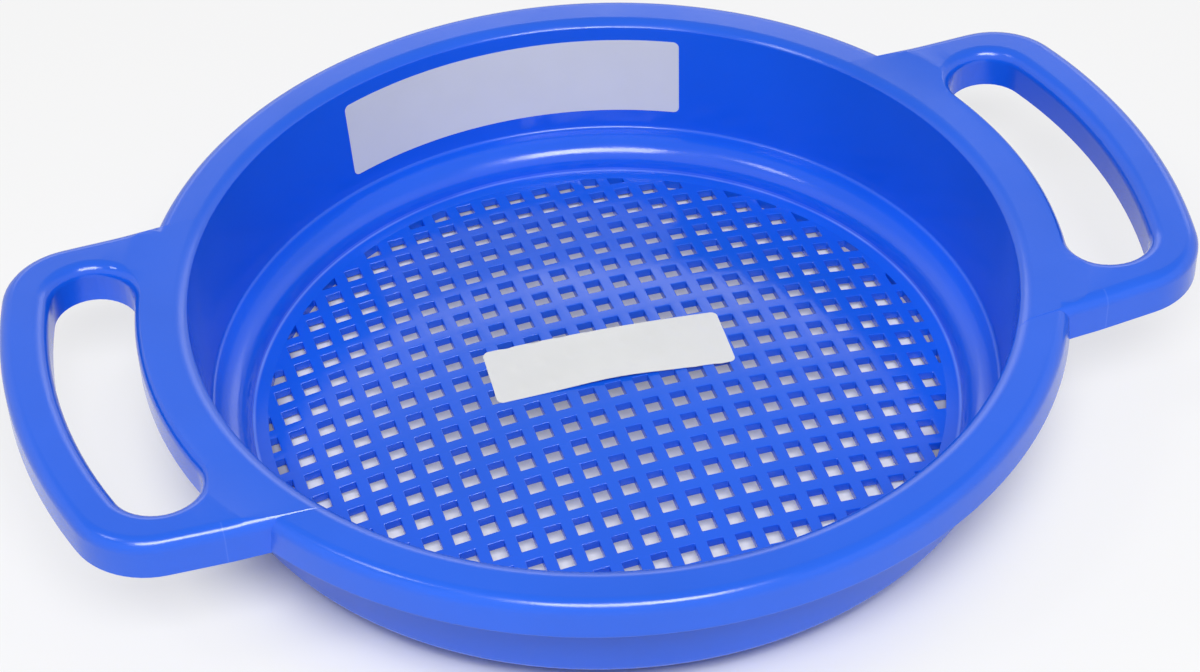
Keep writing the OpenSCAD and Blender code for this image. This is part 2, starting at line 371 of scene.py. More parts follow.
def cut_by(obj, tool, operation):
    """Applies an exact boolean with a tool and removes the tool."""
    boolean = obj.modifiers.new("Cut", "BOOLEAN")
    boolean.operation = operation
    boolean.solver = "EXACT"
    boolean.object = tool
    apply_modifiers(obj)
    remove(tool)


def smooth(obj):
    """Shades a piece smoothly, apart from its sharp edges."""
    show_only(obj)
    bpy.ops.object.shade_smooth_by_angle(angle=SMOOTH_ANGLE)


def shade_moulded(obj):
    """Shades a moulded piece and gives its flat faces back their flat look beside rounded edges."""
    smooth(obj)
    weighted = obj.modifiers.new("Weighted normals", "WEIGHTED_NORMAL")
    weighted.keep_sharp = True
    apply_modifiers(obj)


def fit_piece(obj, node, material):
    """Paints a piece and puts it on the sieve's one body in place of its node."""
    obj.data.materials.clear()
    obj.data.materials.append(material)
    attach(obj, ROOT_BODY)
    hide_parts(node)


class Nodes:
    """Adds and links the nodes of one node tree."""

    def __init__(self, tree):
        self.tree = tree

    def add(self, kind, **values):
        """Adds a node, with values for its inputs or for its settings."""
        node = self.tree.nodes.new(kind)
        for key, value in values.items():
            if key in node.inputs:
                node.inputs[key].default_value = value
            else:
                setattr(node, key, value)
        return node

    def feed(self, target, value):
        """Links a socket into an input, or writes a plain value there."""
        if isinstance(value, NodeSocket):
            self.tree.links.new(value, target)
        else:
            target.default_value = value

    def split(self, place):
        """The three parts of a place or a direction."""
        node = self.add("ShaderNodeSeparateXYZ")
        self.feed(node.inputs["Vector"], place)
        return node.outputs

    def maths(self, operation, *operands):
        """One step of arithmetic; each operand is a number or a socket."""
        node = self.add("ShaderNodeMath", operation=operation)
        for target, value in zip(node.inputs, operands):
            self.feed(target, value)
        return node.outputs["Value"]

    def ranged(self, value, source, target, interpolation="SMOOTHSTEP"):
        """Carries a value over from one range to another and stops at its ends."""
        node = self.add("ShaderNodeMapRange", interpolation_type=interpolation)
        for name, level in zip(("From Min", "From Max", "To Min", "To Max"), (*source, *target)):
            node.inputs[name].default_value = level
        self.feed(node.inputs["Value"], value)
        return node.outputs["Result"]

    def noise(self, place, scale, detail):
        """Noise on object coordinates; the scale is in features per metre."""
        texture = self.add("ShaderNodeTexNoise", Scale=scale, Detail=detail)
        self.feed(texture.inputs["Vector"], place)
        return texture.outputs["Fac"]

    def wander(self, place, scale, detail, low=0, high=1):
        """Noise whose usual range is stretched onto the range that is wanted."""
        usual_range = (0.3, 0.7)
        return self.ranged(self.noise(place, scale, detail), usual_range, (low, high), "LINEAR")

    def mixed(self, factor, first, second, data_type="RGBA"):
        """Mixes two colours or two numbers; each is a plain value or a socket."""
        mix = self.add("ShaderNodeMix", data_type=data_type)
        for name, value in (("Factor", factor), ("A", first), ("B", second)):
            self.feed(mix.inputs[name], value)
        return mix.outputs["Result"]

    def bump(self, target, height, strength, depth):
        """Raises the surface by a height and feeds its normal to a shader."""
        node = self.add("ShaderNodeBump", Strength=strength, Distance=depth)
        self.feed(node.inputs["Height"], height)
        self.feed(target, node.outputs["Normal"])

    def from_axis(self, x, y):
        """Distance from the bowl's axis."""
        squares = self.maths("ADD", self.maths("POWER", x, 2), self.maths("POWER", y, 2))
        return self.maths("SQRT", squares)

    def peak(self, value, middle, half_width):
        """One at a middle value, falling to nothing at half a width on either side."""
        off = self.maths("ABSOLUTE", self.maths("SUBTRACT", value, middle))
        return self.ranged(off, (half_width, 0), (0, 1))


def new_material(name):
    """A material with its nodes and the inputs of its main shader."""
    material = bpy.data.materials.new(name)
    material.use_nodes = True
    nodes = Nodes(material.node_tree)
    return material, nodes, material.node_tree.nodes["Principled BSDF"].inputs


def crease_highlight_and_flow_line(nodes, place):
    """A painted highlight at the step's foot, and paler plastic on a flow line on each handle's near side.
    """
    finish = bpy.context.scene.sieve_finish
    crease_highlight_half_width, crease_highlight_height, crease_highlight_share = 0.75 * MM, 3.6 * MM, 0.9
    flow_half_width, flow_near_side, flow_share = 0.35 * MM, -60 * MM, 0.16
    x, y, z = nodes.split(place)
    broken = nodes.wander(place, scale=45, detail=2, low=0.45)
    # Painted highlight: a broken paler line round the concave corner at the step's foot.
    foot = nodes.peak(nodes.from_axis(x, y), finish.crease_highlight_radius, crease_highlight_half_width)
    foot = nodes.maths("MULTIPLY", foot, broken)
    foot = nodes.maths("MULTIPLY", foot, nodes.maths("LESS_THAN", z, crease_highlight_height))
    flow = nodes.peak(nodes.maths("ABSOLUTE", x), finish.flow_x, flow_half_width)
    flow = nodes.maths("MULTIPLY", flow, nodes.maths("LESS_THAN", y, flow_near_side))
    return nodes.maths(
        "MAXIMUM", nodes.maths("MULTIPLY", foot, crease_highlight_share), nodes.maths("MULTIPLY", flow, flow_share))


def moulding_material():
    """Satin polyethylene: a deep blue that wanders slightly, with a fine skin and a soft sheen."""
    if "satin_moulding" in bpy.data.materials:
        return bpy.data.materials["satin_moulding"]
    finish = bpy.context.scene.sieve_finish
    glossiest, dullest = finish.gloss - 0.05, finish.gloss + 0.06
    material, nodes, shader = new_material("satin_moulding")
    place = nodes.add("ShaderNodeTexCoord").outputs["Object"]
    drift = nodes.wander(place, scale=14, detail=3)
    body = nodes.mixed(drift, (*finish.deep_blue, 1), (*finish.blue, 1))
    # Paler blue along the step's foot is a painted highlight; along the flow lines it is the plastic's own
    # mark.
    marked = nodes.mixed(crease_highlight_and_flow_line(nodes, place), body, (*finish.highlight_and_flow_blue, 1))
    nodes.feed(shader["Base Color"], marked)
    sheen = nodes.wander(place, scale=60, detail=4, low=glossiest, high=dullest)
    nodes.feed(shader["Roughness"], sheen)
    skin = nodes.noise(place, scale=900, detail=3)
    nodes.bump(shader["Normal"], skin, strength=0.25, depth=0.06 * MM)
    shader["Specular IOR Level"].default_value = 0.6
    return material


def label_material():
    """Bare white label film, nearly smooth, with a soft gloss."""
    if "label_film" in bpy.data.materials:
        return bpy.data.materials["label_film"]
    finish = bpy.context.scene.sieve_finish
    paler_by = 1.05
    paler = tuple(min(1, part * paler_by) for part in finish.film)
    material, nodes, shader = new_material("label_film")
    place = nodes.add("ShaderNodeTexCoord").outputs["Object"]
    drift = nodes.wander(place, scale=40, detail=3)
    nodes.feed(shader["Base Color"], nodes.mixed(drift, (*finish.film, 1), (*paler, 1)))
    ripple = nodes.noise(place, scale=120, detail=2)
    nodes.bump(shader["Normal"], ripple, strength=0.2, depth=0.1 * MM)
    shader["Roughness"].default_value = 0.32
    return material


def wall_radius(sizes, height):
    """Inner radius of the leaning tall wall at a height."""
    return sizes.bowl_radius + (height - sizes.step_height) * math.tan(sizes.wall_lean)


def inner_corner(sizes, skin):
    """Middle of the small round between the tall wall and the fall, and how far the fall turns.

    The round touches the wall's line and the fall's circle from inside. The skin is how far the
    fall stands above the rim's own.
    """
    lean, small = sizes.wall_lean, sizes.inner_corner
    fall_radius, fall_height = sizes.fall_radius + skin, RIM_TOP - sizes.fall_round
    centre = Vector((fall_radius, fall_height))
    along = Vector((math.sin(lean), math.cos(lean)))
    across = Vector((math.cos(lean), -math.sin(lean)))
    start = Vector((sizes.bowl_radius, sizes.step_height)) + across * small - centre
    ahead = start.dot(along)
    reach = math.sqrt(ahead ** 2 - start.length_squared + (sizes.fall_round + skin - small) ** 2)
    middle = start + along * (reach - ahead) + centre
    return middle, math.atan2(fall_radius - middle.x, middle.y - fall_height)


def draw_inner_edge(sizes, skin, crest, steps):
    """Draws up the tall wall, round its crisp corner and up the fall, which ends at a crest's slope."""
    lean, small = sizes.wall_lean, sizes.inner_corner
    middle, fall = inner_corner(sizes, skin)
    line_to(middle.x - small * math.cos(lean), middle.y + small * math.sin(lean))
    arc(middle.x, middle.y, lean + fall - QUARTER, CORNER_STEPS)
    arc(sizes.fall_radius + skin, RIM_TOP - sizes.fall_round, crest - fall, steps)


class SIEVE_OT_rim(Operator):
    """Turn the rim: rounded inner edge, flat top, rolled outer edge and skirt, open underneath"""

    bl_idname = "sieve.add_rim"
    bl_label = "Add rim"

    def execute(self, context):
        sizes = context.scene.sieve_sizes
        edge = sizes.edge_round
        outer = RIM_RADIUS - sizes.skirt_lean
        fall_height = RIM_TOP - sizes.fall_round
        wall_top = wall_radius(sizes, fall_height)
        skirt_low = RIM_TOP - sizes.skirt_depth
        skirt_inner = RIM_RADIUS - sizes.wall
        roll_radius = outer - sizes.rim_outer_round
        roll_height = RIM_TOP - sizes.rim_outer_round
        fall = inner_corner(sizes, skin=0)[1]
        rim = start_profile("rim_flange", wall_top, fall_height)
        draw_inner_edge(sizes, skin=0, crest=0, steps=ROUND_STEPS)
        line_to(roll_radius, RIM_TOP)
        arc(roll_radius, roll_height, -QUARTER, ROUND_STEPS)
        line_to(RIM_RADIUS, skirt_low + edge)
        arc(RIM_RADIUS - edge, skirt_low + edge, -QUARTER, EDGE_STEPS)
        line_to(skirt_inner + edge, skirt_low)
        arc(skirt_inner + edge, skirt_low + edge, -QUARTER, EDGE_STEPS)
        line_to(outer - sizes.wall, roll_height)
        arc(roll_radius, roll_height, QUARTER, ROUND_STEPS)
        line_to(sizes.fall_radius, RIM_TOP - sizes.wall)
        arc(sizes.fall_radius, fall_height, fall, ROUND_STEPS)
        line_to(wall_top + sizes.wall, fall_height)
        line_to(wall_top, fall_height)
        turn_profile(sizes.turn_steps)
        shade_moulded(rim)
        fit_piece(rim, "rim", moulding_material())
        return {"FINISHED"}


class SIEVE_OT_bowl(Operator):
    """Turn the bowl: tall wall, lower corner, rounded step and standing ring"""

    bl_idname = "sieve.add_bowl"
    bl_label = "Add bowl"

    def execute(self, context):
        sizes = context.scene.sieve_sizes
        step_steps, underside_steps, lower_corner_steps = 14, 12, 8
        lean_cos, lean_sin = math.cos(sizes.wall_lean), math.sin(sizes.wall_lean)
        edge, crease, corner = sizes.edge_round, sizes.crease_round, sizes.corner_round
        wall_top = RIM_TOP - sizes.fall_round
        top_radius = wall_radius(sizes, wall_top)
        foot = sizes.bowl_radius + sizes.wall
        step_low = sizes.step_height - sizes.wall
        step_middle = sizes.floor_radius + sizes.step_height - sizes.floor_thickness
        ring = sizes.floor_radius + sizes.wall
        crease_height = sizes.step_height + crease
        crease_radius = wall_radius(sizes, crease_height) - crease / lean_cos
        bowl = start_profile("bowl_wall", top_radius, wall_top)
        line_to(crease_radius + crease * lean_cos, crease_height - crease * lean_sin)
        arc(crease_radius, crease_height, sizes.wall_lean - QUARTER, CORNER_STEPS)
        line_to(step_middle, sizes.step_height)
        arc(step_middle, sizes.floor_thickness, QUARTER, step_steps)
        line_to(sizes.floor_radius, 0)
        line_to(ring - edge, 0)
        arc(ring - edge, edge, QUARTER, EDGE_STEPS)
        line_to(ring, sizes.floor_thickness)
        arc(step_middle, sizes.floor_thickness, -QUARTER, underside_steps)
        line_to(foot - corner, step_low)
        arc(foot - corner, step_low + corner, QUARTER, lower_corner_steps)
        line_to(top_radius + sizes.wall, wall_top)
        line_to(top_radius, wall_top)
        turn_profile(sizes.turn_steps)
        shade_moulded(bowl)
        fit_piece(bowl, "bowl", moulding_material())
        return {"FINISHED"}


def hole_lattice(grille, thickness):
    """A flat plate of bars: one pitch is inset, repeated both ways and opened wherever a hole belongs."""
    columns = math.ceil(GRILLE_RADIUS / grille.pitch_x)
    rows = math.ceil(GRILLE_RADIUS / grille.pitch_y)
    bpy.ops.mesh.primitive_plane_add(
        size=1, location=(-columns * grille.pitch_x, -rows * grille.pitch_y, 0))
    plate = named("sieve_grille")
    plate.scale = (grille.pitch_x, grille.pitch_y, 1)
    apply_place(plate)
    edit(plate)
    bpy.ops.mesh.select_all(action="SELECT")
    bpy.ops.mesh.inset(thickness=grille.bar / 2, depth=0)
    leave_edit()
    for count, step in (
        (2 * columns + 1, (grille.pitch_x, 0, 0)),
        (2 * rows + 1, (0, grille.pitch_y, 0)),
    ):
        row = plate.modifiers.new("Repeat", "ARRAY")
        row.count = count
        row.use_relative_offset = False
        row.use_constant_offset = True
        row.constant_offset_displace = step
        row.use_merge_vertices = True
        row.merge_threshold = WELD
    apply_modifiers(plate)
    open_holes(plate, grille)
    shell = plate.modifiers.new("Thickness", "SOLIDIFY")
    shell.thickness = thickness
    shell.offset = 1
    bevel = plate.modifiers.new("Edges", "BEVEL")
    bevel.width = grille.hole_round
    bevel.segments = 2
    bevel.limit_method = "ANGLE"
    bevel.angle_limit = SHARP_ANGLE
    apply_modifiers(plate)
    plate.rotation_euler.z = grille.turn
    apply_place(plate)
    return plate


def open_holes(plate, grille):
    """Deletes the faces of the holes that reach into the grille's circle by more than a sliver."""
    sliver = 3 * grille.hole_round
    area_tolerance = 0.01
    reach = GRILLE_RADIUS + grille.bar / 2
    hole_area = (grille.pitch_x - grille.bar) * (grille.pitch_y - grille.bar)
    edit(plate)
    bpy.ops.mesh.select_all(action="DESELECT")
    mesh = bmesh.from_edit_mesh(plate.data)
    for face in mesh.faces:
        is_hole = abs(face.calc_area() - hole_area) < area_tolerance * hole_area
        if is_hole and face.calc_center_median().length < reach:
            nearest = min(v.co.length for v in face.verts)
            face.select_set(nearest < GRILLE_RADIUS - sliver)
    bmesh.update_edit_mesh(plate.data)
    bpy.ops.mesh.delete(type="FACE")
    leave_edit()


def crown_up(obj, rise, radius):
    """Raises a plate's middle into a crown, by a falloff of one minus the square of the radius."""
    edit(obj)
    bpy.ops.mesh.select_all(action="DESELECT")
    mesh = bmesh.from_edit_mesh(obj.data)
    top = mesh.verts.new((0, 0, 0))
    top.select_set(True)
    bmesh.update_edit_mesh(obj.data)
    bpy.ops.transform.translate(
        value=(0, 0, rise), use_proportional_edit=True, use_proportional_connected=False,
        proportional_edit_falloff="INVERSE_SQUARE", proportional_size=radius)
    bpy.ops.mesh.delete(type="VERT")
    leave_edit()


class SIEVE_OT_grille(Operator):
    """Cut the lattice by its circle, join it to the floor's plain margin and crown it"""

    bl_idname = "sieve.add_grille"
    bl_label = "Add sieve floor"

    def execute(self, context):
        sizes = context.scene.sieve_sizes
        grille = context.scene.sieve_grille
        thickness = sizes.floor_thickness
        cutter_height = 8 * thickness
        plate = hole_lattice(grille, thickness)
        bpy.ops.mesh.primitive_cylinder_add(
            vertices=sizes.turn_steps, radius=GRILLE_RADIUS + grille.hole_round,
            depth=cutter_height, location=(0, 0, 0))
        cut_by(plate, named("circle_cutter"), "INTERSECT")
        margin = start_profile("margin", GRILLE_RADIUS, 0)
        line_to(sizes.floor_radius, 0)
        line_to(sizes.floor_radius, thickness)
        line_to(GRILLE_RADIUS, thickness)
        line_to(GRILLE_RADIUS, 0)
        turn_profile(sizes.turn_steps)
        cut_by(plate, margin, "UNION")
        crown_up(plate, grille.crown, GRILLE_RADIUS)
        shade_moulded(plate)
        fit_piece(plate, "sieve_floor", moulding_material())
        return {"FINISHED"}


def draw_half_handle(sizes, handle, top):
    """Draws the far half of the right handle in plan, round its hand slot, and fills it as one face."""
    slot_outer_steps, slot_end_steps, slot_inner_steps = 8, 20, 12
    corner_steps, grip_steps = 12, 16
    slot_outer = handle.reach - handle.grip_width
    slot_inner = RIM_RADIUS + handle.slot_skin
    slot_round = (slot_outer - slot_inner) / 2
    slot_middle = (slot_outer + slot_inner) / 2
    slot_turn = math.asin((handle.half_width - handle.side_width - slot_round) / slot_middle)
    slot_end = Vector((slot_middle * math.cos(slot_turn), slot_middle * math.sin(slot_turn), top))
    side_turn = QUARTER - handle.side_lean
    outwards = Vector((math.cos(side_turn), math.sin(side_turn), 0))
    along = Vector((math.sin(side_turn), -math.cos(side_turn), 0))
    corner_off = handle.half_width - handle.corner_round
    corner_out = math.sqrt((handle.reach - handle.corner_round) ** 2 - corner_off ** 2)
    corner = outwards * corner_off + along * corner_out + Vector((0, 0, top))
    corner_turn = math.atan2(corner.y, corner.x)
    inner_end = math.sqrt(sizes.bowl_radius ** 2 - handle.half_width ** 2) - 2 * handle.edge_round
    axis = (0, 0, top)
    half = start_line("handle_loop_right", (slot_outer, 0, top))
    plan_arc(axis, slot_turn, slot_outer_steps)
    plan_arc(slot_end, math.pi, slot_end_steps)
    plan_arc(axis, -slot_turn, slot_inner_steps)
    draw_to((inner_end, 0, top))
    draw_to((inner_end, (handle.half_width - inner_end * outwards.x) / outwards.y, top))
    draw_to(corner + outwards * handle.corner_round)
    plan_arc(corner, corner_turn - side_turn, corner_steps)
    plan_arc(axis, -corner_turn, grip_steps)
    draw_to((slot_outer, 0, top))
    weld_all()
    bpy.ops.mesh.select_all(action="SELECT")
    bpy.ops.mesh.edge_face_add()
    return half


def channel_loop(sizes, handle):
    """Models the right handle's level channel: half an outline, extruded, mirrored, rounded, hollow."""
    edge_segments = 6
    top = RIM_TOP + handle.saddle_rise
    low = top - handle.depth
    loop = draw_half_handle(sizes, handle, top)
    bpy.ops.mesh.select_all(action="SELECT")
    bpy.ops.mesh.extrude_region_move(TRANSFORM_OT_translate={"value": (0, 0, -handle.depth)})
    for is_open in (lambda place: place.z < low + NEAR, lambda place: abs(place.y) < NEAR):
        select_faces(is_open)
        bpy.ops.mesh.delete(type="FACE")
    leave_edit()
    mirror = loop.modifiers.new("Near half", "MIRROR")
    mirror.use_axis = (False, True, False)
    mirror.merge_threshold = WELD
    apply_modifiers(loop)
    edit(loop)
    bpy.ops.mesh.select_all(action="SELECT")
    bpy.ops.mesh.normals_make_consistent(inside=False)
    bpy.ops.mesh.select_mode(type="EDGE")
    bpy.ops.mesh.select_all(action="DESELECT")
    bpy.ops.mesh.edges_select_sharp(sharpness=SHARP_ANGLE)
    bpy.ops.mesh.bevel(
        offset_type="OFFSET", offset=handle.edge_round, segments=edge_segments, profile=0.5,
        affect="EDGES", clamp_overlap=False)
    leave_edit()
    shell = loop.modifiers.new("Thickness", "SOLIDIFY")
    shell.thickness = sizes.wall
    shell.offset = -1
    shell.use_even_offset = True
    apply_modifiers(loop)
    return loop


def rim_room(sizes, handle):
    """What a handle is cut back by: the room inside the rim's shell and the air above a saddle.

    A saddle lies flush on the rim up to its reach and then ramps up to the handle's top.
    """
    crest, ramp_slope = math.radians(1), math.radians(5.5)
    half = sizes.wall / 2
    fall_height = RIM_TOP - sizes.fall_round
    roll = RIM_RADIUS - sizes.skirt_lean - sizes.rim_outer_round
    roll_height = RIM_TOP - sizes.rim_outer_round
    rim_corner, rim_fall = inner_corner(sizes, skin=0)
    saddle_from = sizes.fall_radius + handle.saddle_skin
    saddle_top = RIM_TOP + handle.saddle_skin + (handle.saddle_reach - saddle_from) * math.tan(crest)
    ramp = 3 * (sizes.fall_round + handle.saddle_skin)
    room_top = RIM_TOP + 2 * handle.depth
    room = start_profile("rim_room", 0, -half)
    line_to(RIM_RADIUS - half, -half)
    line_to(RIM_RADIUS - half, RIM_TOP - sizes.skirt_depth)
    line_to(roll + sizes.rim_outer_round - half, roll_height)
    arc(roll, roll_height, QUARTER, ROUND_STEPS)
    line_to(sizes.fall_radius, RIM_TOP - half)
    arc(sizes.fall_radius, fall_height, rim_fall, SADDLE_STEPS)
    line_to(wall_radius(sizes, rim_corner.y), rim_corner.y)
    draw_inner_edge(sizes, handle.saddle_skin, crest, SADDLE_STEPS)
    line_to(handle.saddle_reach, saddle_top)
    line_to(handle.saddle_reach + ramp, saddle_top + ramp * math.tan(ramp_slope))
    line_to(handle.saddle_reach + ramp, room_top)
    line_to(0, room_top)
    line_to(0, -half)
    turn_profile(sizes.turn_steps)
    return room


def cut_ramp(obj, handle):
    """Cuts both side bars across where the tilt sets in, so that their flat tops can bend there."""
    cut_shares = (-1, -0.5, 0, 0.5, 1)
    arm = math.asin((handle.half_width - handle.side_width / 2) / handle.tilt_radius)
    edit(obj)
    for side in (1, -1):
        across = Vector((math.cos(arm), side * math.sin(arm), 0))
        for cut_share in cut_shares:
            select_faces(lambda place: side * place.y > -WELD)
            bpy.ops.mesh.bisect(
                plane_co=across * (handle.tilt_radius + cut_share * handle.tilt_ramp), plane_no=across)
    leave_edit()


def tilt_up(obj, handle):
    """Lifts the handle beyond the tilt's circle about a level line, with a soft start."""
    hinge = math.sqrt(handle.tilt_radius ** 2 - (handle.half_width - handle.side_width / 2) ** 2)
    slope = math.tan(handle.tilt)
    for vertex in obj.data.vertices:
        radius = math.hypot(vertex.co.x, vertex.co.y)
        progress = (radius - handle.tilt_radius + handle.tilt_ramp) / (2 * handle.tilt_ramp)
        progress = min(1, max(0, progress))
        ease = progress * progress * (3 - 2 * progress)
        vertex.co.z += ease * slope * (vertex.co.x - hinge)


class SIEVE_OT_handles(Operator):
    """Model one loop handle, a channel open underneath with its saddle on the rim, and copy it across"""

    bl_idname = "sieve.add_handles"
    bl_label = "Add handles"

    def execute(self, context):
        sizes = context.scene.sieve_sizes
        handle = context.scene.sieve_handles
        right = channel_loop(sizes, handle)
        cut_by(right, rim_room(sizes, handle), "DIFFERENCE")
        cut_ramp(right, handle)
        tilt_up(right, handle)
        shade_moulded(right)
        show_only(right)
        bpy.ops.object.duplicate(linked=False)
        left = named("handle_loop_left")
        left.rotation_euler.z = math.pi
        apply_place(left)
        for loop, node in ((right, "right_handle"), (left, "left_handle")):
            fit_piece(loop, node, moulding_material())
        return {"FINISHED"}


def label_sheet(name, label_length, width, corner, step):
    """A flat film with round corners, cut into strips both ways so that it can follow a surface."""
    corner_segments = 6
    bpy.ops.mesh.primitive_plane_add(size=1, location=(0, 0, 0))
    sheet = named(name)
    sheet.scale = (label_length, width, 1)
    apply_place(sheet)
    edit(sheet)
    bpy.ops.mesh.select_all(action="SELECT")
    bpy.ops.mesh.bevel(offset=corner, segments=corner_segments, affect="VERTICES")
    for size, normal in ((label_length, Vector((1, 0, 0))), (width, Vector((0, 1, 0)))):
        cuts = round(size / step)
        for cut in range(1, cuts):
            bpy.ops.mesh.select_all(action="SELECT")
            bpy.ops.mesh.bisect(plane_co=normal * (cut * size / cuts - size / 2), plane_no=normal)
    leave_edit()
    return sheet


def thicken_label(sheet, thickness):
    """Gives a laid label its thickness, on the side that faces away from what it is stuck on."""
    shell = sheet.modifiers.new("Film", "SOLIDIFY")
    shell.thickness = thickness
    shell.offset = 1
    apply_modifiers(sheet)
    smooth(sheet)


def glue_gap(labels):
    """How far a label's underside stands off what it is stuck on."""
    return 0.3 * labels.film


def lay_on_wall(sheet, sizes, labels):
    """Wraps a flat label round the inside of the tall wall."""
    middle_radius = wall_radius(sizes, labels.wall_height)
    for vertex in sheet.data.vertices:
        vertex.co.rotate(Euler((0, 0, labels.wall_turn)))
        height = labels.wall_height + vertex.co.y * math.cos(sizes.wall_lean)
        radius = wall_radius(sizes, height) - glue_gap(labels)
        turn = labels.wall_at - vertex.co.x / middle_radius
        vertex.co = Vector((radius * math.cos(turn), radius * math.sin(turn), height))


def lay_on_grille(sheet, grille, labels, thickness):
    """Lays a flat label on the crowned grille, where it sinks a little into each hole under it."""
    for vertex in sheet.data.vertices:
        flat = vertex.co.copy()
        near = max(0, -2 * flat.y / labels.floor_width) ** 2
        curl = labels.curl * near * math.exp(-(flat.x / labels.curl_length) ** 2)
        flat.rotate(Euler((0, 0, labels.floor_turn)))
        place = flat + Vector((labels.floor_x, labels.floor_y, 0))
        on_grille = place.copy()
        on_grille.rotate(Euler((0, 0, -grille.turn)))
        over_x = math.cos(2 * math.pi * on_grille.x / grille.pitch_x)
        over_y = math.cos(2 * math.pi * on_grille.y / grille.pitch_y)
        sink = labels.sag * max(0, over_x) * max(0, over_y)
        rise = grille.crown * (1 - (place.x ** 2 + place.y ** 2) / GRILLE_RADIUS ** 2)
        place.z = thickness + rise + glue_gap(labels) - sink + curl
        vertex.co = place


class SIEVE_OT_labels(Operator):
    """Cut the two bare labels, lay them on the wall and on the grille and give them their film"""

    bl_idname = "sieve.add_labels"
    bl_label = "Add labels"

    def execute(self, context):
        sizes = context.scene.sieve_sizes
        labels = context.scene.sieve_labels
        grille = context.scene.sieve_grille
        wall = label_sheet(
            "wall_film", labels.wall_length, labels.wall_width, labels.corner, step=2 * MM)
        lay_on_wall(wall, sizes, labels)
        floor = label_sheet(
            "grille_film", labels.floor_length, labels.floor_width, labels.corner, step=1 * MM)
        lay_on_grille(floor, grille, labels, sizes.floor_thickness)
        for sheet, node in ((wall, "wall_label"), (floor, "floor_label")):
            thicken_label(sheet, labels.film)
            fit_piece(sheet, node, label_material())
        return {"FINISHED"}


def floor_material():
    """Pale studio paper, seen white round the sieve; it keeps the sieve's soft shadow, with painted shadow
    added.
    """
    # The dark grey is a painted shadow, laid as a ring on the paper round the sieve's standing ring.
    pale, palest, painted_ring_shadow = (0.90, 0.90, 0.905, 1), (0.92, 0.92, 0.92, 1), (0.2, 0.2, 0.24, 1)
    white_strength, white_inside, white_outside, ring_shadow_share = 0.98, 0.25, 0.68, 0.65
    under_grille, beside_wall = (78 * MM, 96 * MM), (104 * MM, 140 * MM)
    ring_shadow_inside, ring_shadow_outside = (90 * MM, 97 * MM), (103 * MM, 112 * MM)
    material, nodes, shader = new_material("studio_paper")
    place = nodes.add("ShaderNodeTexCoord").outputs["Object"]
    shader["Roughness"].default_value = 0.85
    shader["Specular IOR Level"].default_value = 0.2
    x, y, _ = nodes.split(place)
    radius = nodes.from_axis(x, y)
    tone = nodes.mixed(nodes.wander(place, scale=6, detail=2), pale, palest)
    # Painted shadow: the paper's colour goes dark grey in a ring under the standing ring.
    ring_shadow_mask = nodes.maths(
        "MINIMUM", nodes.ranged(radius, ring_shadow_inside, (0, ring_shadow_share)),
        nodes.ranged(radius, ring_shadow_outside, (ring_shadow_share, 0)))
    nodes.feed(shader["Base Color"], nodes.mixed(ring_shadow_mask, tone, painted_ring_shadow))
    rays = nodes.add("ShaderNodeLightPath").outputs
    mirrored = nodes.maths("MAXIMUM", rays["Is Glossy Ray"], rays["Is Transmission Ray"])
    seen = nodes.maths("MAXIMUM", rays["Is Camera Ray"], mirrored)
    # Painted shadow too: the white glow that camera and mirrored rays see is cut back under the grille and
    # beside the bowl.
    white = nodes.maths(
        "MAXIMUM", nodes.ranged(radius, under_grille, (white_inside, 0)),
        nodes.ranged(radius, beside_wall, (0, white_outside)))
    glow = nodes.add("ShaderNodeEmission", Color=(1, 1, 1, 1), Strength=white_strength)
    paper = nodes.add("ShaderNodeMixShader")
    paper_nodes = material.node_tree.nodes
    for target, value in zip(paper.inputs, (
        nodes.maths("MULTIPLY", seen, white),
        paper_nodes["Principled BSDF"].outputs["BSDF"],
        glow.outputs["Emission"],
    )):
        nodes.feed(target, value)
    nodes.feed(paper_nodes["Material Output"].inputs["Surface"], paper.outputs["Shader"])
    return material


def studio_world(strength, overhead):
    """Even light from all round; the camera sees white, and reflections fade to grey overhead."""
    fade_heights = (0.55, 0.78)
    world = bpy.data.worlds.new("studio_world")
    world.use_nodes = True
    bpy.context.scene.world = world
    nodes = Nodes(world.node_tree)
    direction = nodes.split(nodes.add("ShaderNodeTexCoord").outputs["Generated"])
    faded = nodes.ranged(direction["Z"], fade_heights, (1, overhead))
    rays = nodes.add("ShaderNodeLightPath").outputs
    level = strength
    for ray, seen in (("Is Glossy Ray", faded), ("Is Transmission Ray", 1), ("Is Camera Ray", 1)):
        level = nodes.mixed(rays[ray], level, seen, "FLOAT")
    background = world.node_tree.nodes["Background"].inputs
    background["Color"].default_value = (1, 1, 1, 1)
    nodes.feed(background["Strength"], level)


def lamp(name, place, width, height, watts):
    """An oblong area lamp that faces the sieve, its width level."""
    bpy.ops.object.light_add(type="AREA", location=place)
    obj = bpy.context.object
    obj.name = name
    obj.data.shape = "RECTANGLE"
    obj.data.size = width
    obj.data.size_y = height
    obj.data.energy = watts
    obj.visible_camera = False
    obj.rotation_euler = Vector(place).to_track_quat("Z", "Y").to_euler()


def camera_on(studio, aim):
    """The photograph's camera, rolled about its line of sight to a point."""
    bpy.ops.object.camera_add()
    camera = bpy.context.object
    camera.name = "studio_camera"
    camera.data.sensor_width = 36
    camera.data.lens = studio.lens
    flat = math.cos(studio.elevation)
    back = Vector((
        math.sin(studio.azimuth) * flat, -math.cos(studio.azimuth) * flat, math.sin(studio.elevation)))
    camera.location = aim + back * studio.distance
    level = back.to_track_quat("Z", "Y")
    camera.rotation_euler = (level @ Quaternion((0, 0, 1), studio.roll)).to_euler()
    return camera


